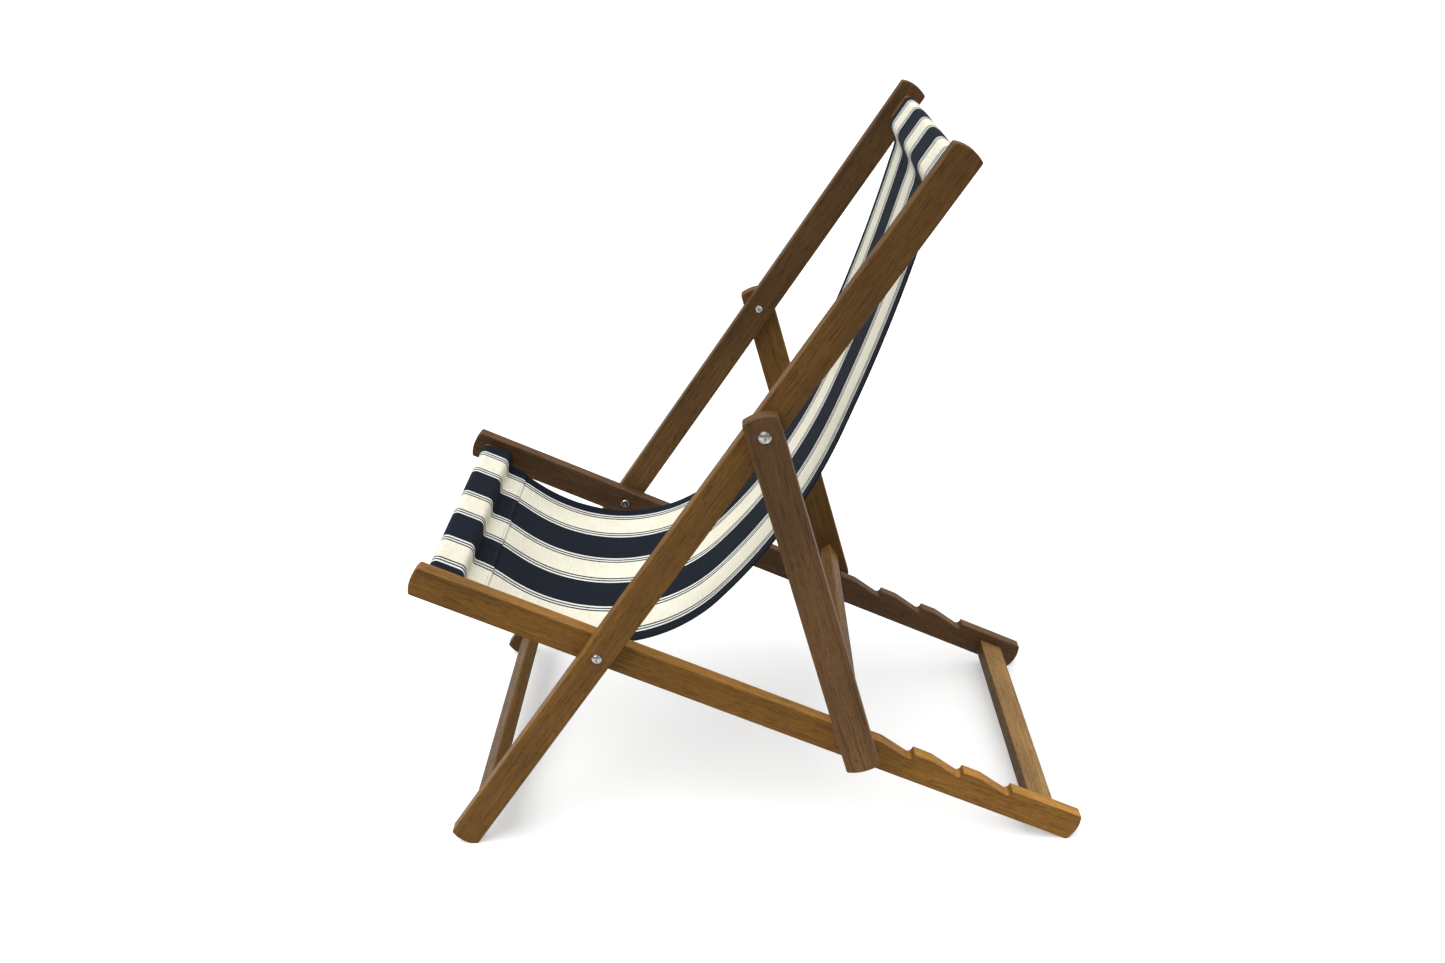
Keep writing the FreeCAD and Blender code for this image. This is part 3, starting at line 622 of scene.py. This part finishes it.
def settle(sling, line, first, last):
    """Drop the span between two rows as cloth, and keep the sheet near its line."""
    width = COLUMNS + 1
    pins = sling.vertex_groups.new(name="pins")
    for row in range(len(line)):
        away = min(row - first, last - row)
        weight = 1.0 if away <= 0 else max(0.0, 1 - away / 3)
        pins.add([row * width + column for column in range(width)], weight, "REPLACE")
    cloth = sling.modifiers.new("cloth", "CLOTH")
    cloth.settings.vertex_group_mass = "pins"
    cloth.settings.quality = 7
    cloth.settings.mass = 0.25
    cloth.settings.tension_stiffness = 60
    cloth.settings.compression_stiffness = 60
    cloth.settings.shear_stiffness = 25
    cloth.settings.bending_stiffness = 6
    cloth.settings.tension_damping = 12
    cloth.settings.compression_damping = 12
    cloth.settings.shear_damping = 12
    cloth.settings.bending_damping = 2
    cloth.settings.air_damping = 6
    cloth.collision_settings.use_collision = False
    cloth.point_cache.frame_start = 1
    cloth.point_cache.frame_end = SETTLE_FRAMES
    scene = bpy.context.scene
    for number in range(1, SETTLE_FRAMES + 1):
        scene.frame_set(number)
    graph = bpy.context.evaluated_depsgraph_get()
    settled = [v.co.copy() for v in sling.evaluated_get(graph).data.vertices]
    sling.modifiers.clear()
    sling.vertex_groups.clear()
    scene.frame_set(1)
    for row in range(first, last):
        places = settled[row * width:(row + 1) * width]
        middle = sum((p.yz for p in places), Vector((0, 0))) / width
        for column, place in enumerate(places):
            move = Vector((0, place.y - middle.x, place.z - middle.y))
            if move.length > MOST_MOVE:
                move *= MOST_MOVE / move.length
            vert = sling.data.vertices[row * width + column]
            vert.co = Vector((vert.co.x, line[row].y, line[row].z)) + move
            vert.co.x += max(-2 * MM, min(2 * MM, place.x - vert.co.x)) * 0.5


RIPPLE_REACH = 14 * MM
RIPPLE_HEIGHT = 1.3 * MM


def pucker(sling, lengths, first, last, seams):
    """Sewing draws the cloth in: short ripples beside each seam, the same in both its layers."""
    width = COLUMNS + 1
    sling.data.update()
    normals = [v.normal.copy() for v in sling.data.vertices]
    for row, length in enumerate(lengths):
        near = min(abs(length - seam) for seam in seams)
        fade = math.exp(-(near / RIPPLE_REACH) ** 2)
        if fade < 0.02:
            continue
        side = 1 if first <= row <= last else -1
        for column in range(width):
            vert = sling.data.vertices[row * width + column]
            ripple = noise.noise(Vector((vert.co.x * 55, vert.co.y * 14, vert.co.z * 14)))
            vert.co += normals[row * width + column] * (side * ripple * RIPPLE_HEIGHT * fade)


FLARE_REACH = 45 * MM  # along the cloth, either way from a pocket
FLARE_START = 0.85  # of the half width; only the cloth beyond it spreads


def flare(sling, lengths, pocket, spread):
    """Stretched over its rail, a pocket spreads a little wider than the span."""
    width = COLUMNS + 1
    for row, length in enumerate(lengths):
        fade = math.exp(-((length - pocket) / FLARE_REACH) ** 2)
        for vert in sling.data.vertices[row * width:(row + 1) * width]:
            edge = max(0.0, abs(vert.co.x) / SLING_HALF - FLARE_START) / (1 - FLARE_START)
            vert.co.x += math.copysign(spread * edge * edge * fade, vert.co.x)


HEM_THICK = CLOTH_THICK * 1.8
PLAIN_SHARE = 0.55  # of the hem's thickness


def thicken(sling):
    """Cloth thickness, nearly doubled where the long edges are hemmed under."""
    hem = sling.vertex_groups.new(name="hem")
    for vert in sling.data.vertices:
        inside = (SLING_HALF - abs(vert.co.x)) / HEM_WIDTH
        weight = 1.0 if inside < 1 else PLAIN_SHARE
        hem.add([vert.index], weight, "REPLACE")
    solid = sling.modifiers.new("thickness", "SOLIDIFY")
    solid.thickness = HEM_THICK
    solid.offset = -0.2
    solid.vertex_group = "hem"
    smooth = sling.modifiers.new("smooth", "SUBSURF")
    smooth.levels = 1
    smooth.render_levels = 1
    apply_modifiers(sling)
    sling.vertex_groups.clear()


def apply_modifiers(piece):
    graph = bpy.context.evaluated_depsgraph_get()
    baked = bpy.data.meshes.new_from_object(piece.evaluated_get(graph))
    piece.modifiers.clear()
    old = piece.data
    piece.data = baked
    bpy.data.meshes.remove(old)
    for face in piece.data.polygons:
        face.use_smooth = True


STITCH_PITCH = 3.6 * MM
STITCH_LENGTH = 2.7 * MM
STITCH_RADIUS = 0.28 * MM


def add_stitch(bm, place, along, up):
    """One stitch: a short bead that dips into the cloth at both ends."""
    side = along.cross(up).normalized()
    rings = []
    sections, sides = 6, 6
    for i in range(sections + 1):
        t = i / sections * 2 - 1
        bulge = math.sqrt(max(0.0, 1 - t * t)) * 0.85 + 0.15
        centre = place + along * (t * STITCH_LENGTH / 2) + up * (STITCH_RADIUS * (0.9 - 1.2 * t * t))
        ring = []
        for j in range(sides):
            angle = 2 * math.pi * j / sides
            spoke = side * math.cos(angle) + up * math.sin(angle)
            ring.append(bm.verts.new(centre + spoke * (STITCH_RADIUS * bulge)))
        rings.append(ring)
    for first, second in zip(rings, rings[1:]):
        for j in range(sides):
            k = (j + 1) % sides
            bm.faces.new((first[j], first[k], second[k], second[j]))
    bm.faces.new(list(reversed(rings[0])))
    bm.faces.new(rings[-1])


def surface_at(sling, row, x):
    """A point on the cloth's middle surface in a row, and the ways across, along and up."""
    width = COLUMNS + 1
    place = (x / SLING_HALF + 1) / 2 * COLUMNS
    column = min(COLUMNS - 1, int(place))
    t = place - column
    verts = sling.data.vertices
    here = verts[row * width + column].co.lerp(verts[row * width + column + 1].co, t)
    across = (verts[row * width + column + 1].co - verts[row * width + column].co).normalized()
    beyond = verts[(row + 1) * width + column].co.lerp(verts[(row + 1) * width + column + 1].co, t)
    along = (beyond - here).normalized()
    return here, across, along, across.cross(along).normalized()


def row_at(lengths, length):
    return min(range(len(lengths) - 1), key=lambda row: abs(lengths[row] - length))


def seam_stitches(sling, lengths, seams, side):
    """A row of stitches across the cloth at each of some lengths along it, on one side of it."""
    bm = bmesh.new()
    count = int(2 * (SLING_HALF - 3 * MM) / STITCH_PITCH)
    for length in seams:
        row = row_at(lengths, length)
        for k in range(count):
            x = (k + 0.5 - count / 2) * STITCH_PITCH
            here, across, along, up = surface_at(sling, row, x)
            up = up * side
            slip = length - lengths[row] + random.uniform(-0.15, 0.15) * MM
            add_stitch(bm, here + up * (CLOTH_THICK * 0.5) + along * slip, across, up)
    return bm


def hem_stitches(sling, lengths, low, high):
    """A row of stitches down each long edge, over the hem."""
    bm = bmesh.new()
    for x in (HEM_WIDTH - SLING_HALF - 2 * MM, SLING_HALF + 2 * MM - HEM_WIDTH):
        length = low
        while length < high:
            row = row_at(lengths, length)
            here, across, along, up = surface_at(sling, row, x)
            here = here + along * (length - lengths[row])
            add_stitch(bm, here + up * (CLOTH_THICK * 0.5), along, up)
            length += STITCH_PITCH
    return bm


def mesh_piece(name, bm, material):
    mesh = bpy.data.meshes.new(name)
    bm.to_mesh(mesh)
    bm.free()
    for face in mesh.polygons:
        face.use_smooth = True
    mesh.materials.append(material)
    piece = bpy.data.objects.new(name, mesh)
    bpy.context.scene.collection.objects.link(piece)
    return piece


def bend_with_fold(piece):
    """The piece's placement is baked into its mesh."""
    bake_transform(piece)


def make_sling():
    corners, first_corner, last_corner = cloth_corners()
    line, marks = rounded_line(corners, ROW_STEP)
    first, last = marks[first_corner], marks[last_corner]
    sling, lengths = cloth_grid(line)
    pocket_seams = [lengths[first] + FRONT_SEAM, lengths[last] - TOP_SEAM]
    flap_seams = [SEAM_MARGIN, lengths[-1] - SEAM_MARGIN]
    free_first = row_at(lengths, pocket_seams[0] + 2 * SEAM_MARGIN)
    free_last = row_at(lengths, pocket_seams[1] - 2 * SEAM_MARGIN)
    loosen(sling, free_first, free_last)
    settle(sling, line, free_first, free_last)
    seams = pocket_seams + flap_seams
    pucker(sling, lengths, first, last, seams)
    flare(sling, lengths, lengths[marks[3]], FRONT_FLARE)
    flare(sling, lengths, lengths[marks[-4]], TOP_FLARE)
    sling.data.update()
    rows = mesh_piece(
        "sling_seam_stitches",
        seam_stitches(sling, lengths, seams, -1),
        thread_material("seam_thread", rgb(58, 60, 66), rgb(96, 97, 100)),
    )
    hems = mesh_piece(
        "sling_hem_stitches",
        hem_stitches(sling, lengths, lengths[first], lengths[last]),
        thread_material("hem_thread", rgb(24, 29, 40), rgb(44, 50, 62)),
    )
    thicken(sling)
    sling.data.materials.clear()
    sling.data.materials.append(canvas_material("striped_canvas"))
    for piece in (sling, rows, hems):
        bend_with_fold(piece)
    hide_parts("canvas_sling")


FRONT_SEAM = 7 * MM  # from where the span starts to fall away from the seat frame's line
TOP_SEAM = 6 * MM  # before it reaches the top pocket
SEAM_MARGIN = 5 * MM  # from the flap's end
FRONT_FLARE = 9 * MM  # how much wider each side of a pocket is than the span
TOP_FLARE = 7.5 * MM


# ---------------------------------------------------------------- studio

FLOOR_GLOW = 0.28  # a light table's, so that shadows stay faint


def make_floor():
    mesh = bpy.data.meshes.new("floor")
    half = 30.0
    corners = [(-half, -half, 0), (half, -half, 0), (half, half, 0), (-half, half, 0)]
    mesh.from_pydata(corners, [], [(0, 1, 2, 3)])
    floor = bpy.data.objects.new("floor", mesh)
    bpy.context.scene.collection.objects.link(floor)
    n = Nodes("floor_paint")
    coordinates = n.tree.nodes.new("ShaderNodeTexCoord")
    soft = n.noise(coordinates.outputs["Object"], 1.5, 2)
    colour = n.mix(soft, (0.90, 0.90, 0.90, 1), (0.92, 0.92, 0.92, 1))
    n.shader.inputs["Emission Color"].default_value = (1, 1, 1, 1)
    n.shader.inputs["Emission Strength"].default_value = FLOOR_GLOW
    mesh.materials.append(n.finish(Base_Color=colour, Roughness=0.9, Specular_IOR_Level=0.1))
    floor.visible_diffuse = False


def make_backdrop():
    """A pale wall far off all round, there only to be seen behind the chair."""
    mesh = bpy.data.meshes.new("backdrop")
    steps, distance, height = 64, 29.0, 24.0
    ring = [(2 * math.pi * k / steps) for k in range(steps)]
    verts = [(distance * math.cos(a), distance * math.sin(a), z) for z in (-0.5, height) for a in ring]
    faces = [(k, (k + 1) % steps, steps + (k + 1) % steps, steps + k) for k in range(steps)]
    mesh.from_pydata(verts, [], faces)
    wall = bpy.data.objects.new("backdrop", mesh)
    bpy.context.scene.collection.objects.link(wall)
    n = Nodes("backdrop_paint")
    coordinates = n.tree.nodes.new("ShaderNodeTexCoord")
    soft = n.noise(coordinates.outputs["Object"], 0.2, 2)
    glow = n.mix(soft, (0.98, 0.98, 0.98, 1), (1.0, 1.0, 1.0, 1))
    n.shader.inputs["Emission Strength"].default_value = 1.0
    mesh.materials.append(n.finish(Base_Color=(0, 0, 0, 1), Emission_Color=glow, Specular_IOR_Level=0.0))
    wall.visible_diffuse = False
    wall.visible_glossy = False
    wall.visible_shadow = False
    wall.visible_transmission = False


def aim(thing, target):
    thing.rotation_euler = (target - thing.location).to_track_quat("-Z", "Y").to_euler()


def make_studio():
    """A broad soft sun from the front left, and a pale sky that is dimmer low down."""
    sun = bpy.data.lights.new("sun", "SUN")
    sun.energy = SUN_STRENGTH
    sun.angle = math.radians(50)
    sun.color = (1.0, 0.985, 0.96)
    light = bpy.data.objects.new("sun", sun)
    light.location = (1.4, -1.6, 3.4)
    aim(light, Vector((0, 0, 0.45)))
    bpy.context.scene.collection.objects.link(light)

    world = bpy.data.worlds.new("studio")
    world.use_nodes = True
    nodes, links = world.node_tree.nodes, world.node_tree.links
    background = nodes["Background"]
    background.inputs["Color"].default_value = (1, 1, 1, 1)
    direction = nodes.new("ShaderNodeTexCoord")
    parts = nodes.new("ShaderNodeSeparateXYZ")
    rise = nodes.new("ShaderNodeMapRange")
    rise.interpolation_type = "SMOOTHSTEP"
    rise.inputs["From Min"].default_value = -0.05
    rise.inputs["From Max"].default_value = 0.8
    rise.inputs["To Min"].default_value = LOW_SKY
    rise.inputs["To Max"].default_value = HIGH_SKY
    links.new(direction.outputs["Generated"], parts.inputs[0])
    links.new(parts.outputs["Z"], rise.inputs["Value"])
    links.new(rise.outputs[0], background.inputs["Strength"])
    bpy.context.scene.world = world
    bpy.context.scene.view_settings.view_transform = "Standard"


SUN_STRENGTH = 1.3
LOW_SKY = 0.18
HIGH_SKY = 1.15

# The camera stands on the sitter's left, higher than the chair, looking down.
CAMERA_FROM_PIVOT = Vector((1.8017, 0.1863, 0.9761))
CAMERA_FORWARD = Vector((-0.90654, 0.00487, -0.42210))
CAMERA_UP = Vector((-0.42213, -0.01027, 0.90648))
CAMERA_LENS = 32.31
CAMERA_SHIFT = (-0.0115, 0.0047)


def make_camera():
    data = bpy.data.cameras.new("camera")
    data.sensor_fit = "HORIZONTAL"
    data.sensor_width = 36
    data.lens = CAMERA_LENS
    data.shift_x, data.shift_y = CAMERA_SHIFT
    data.clip_end = 100
    camera = bpy.data.objects.new("camera", data)
    back = -CAMERA_FORWARD.normalized()
    right = CAMERA_UP.cross(back).normalized()
    up = back.cross(right)
    turned = Matrix((right, up, back)).transposed().to_4x4()
    camera.matrix_world = Matrix.Translation(FRAME_PIVOT + CAMERA_FROM_PIVOT) @ turned
    bpy.context.scene.collection.objects.link(camera)
    bpy.context.scene.camera = camera


dress_rails()
dress_cross_rails()
dress_hardware()
make_sling()
make_floor()
make_backdrop()
make_studio()
make_camera()
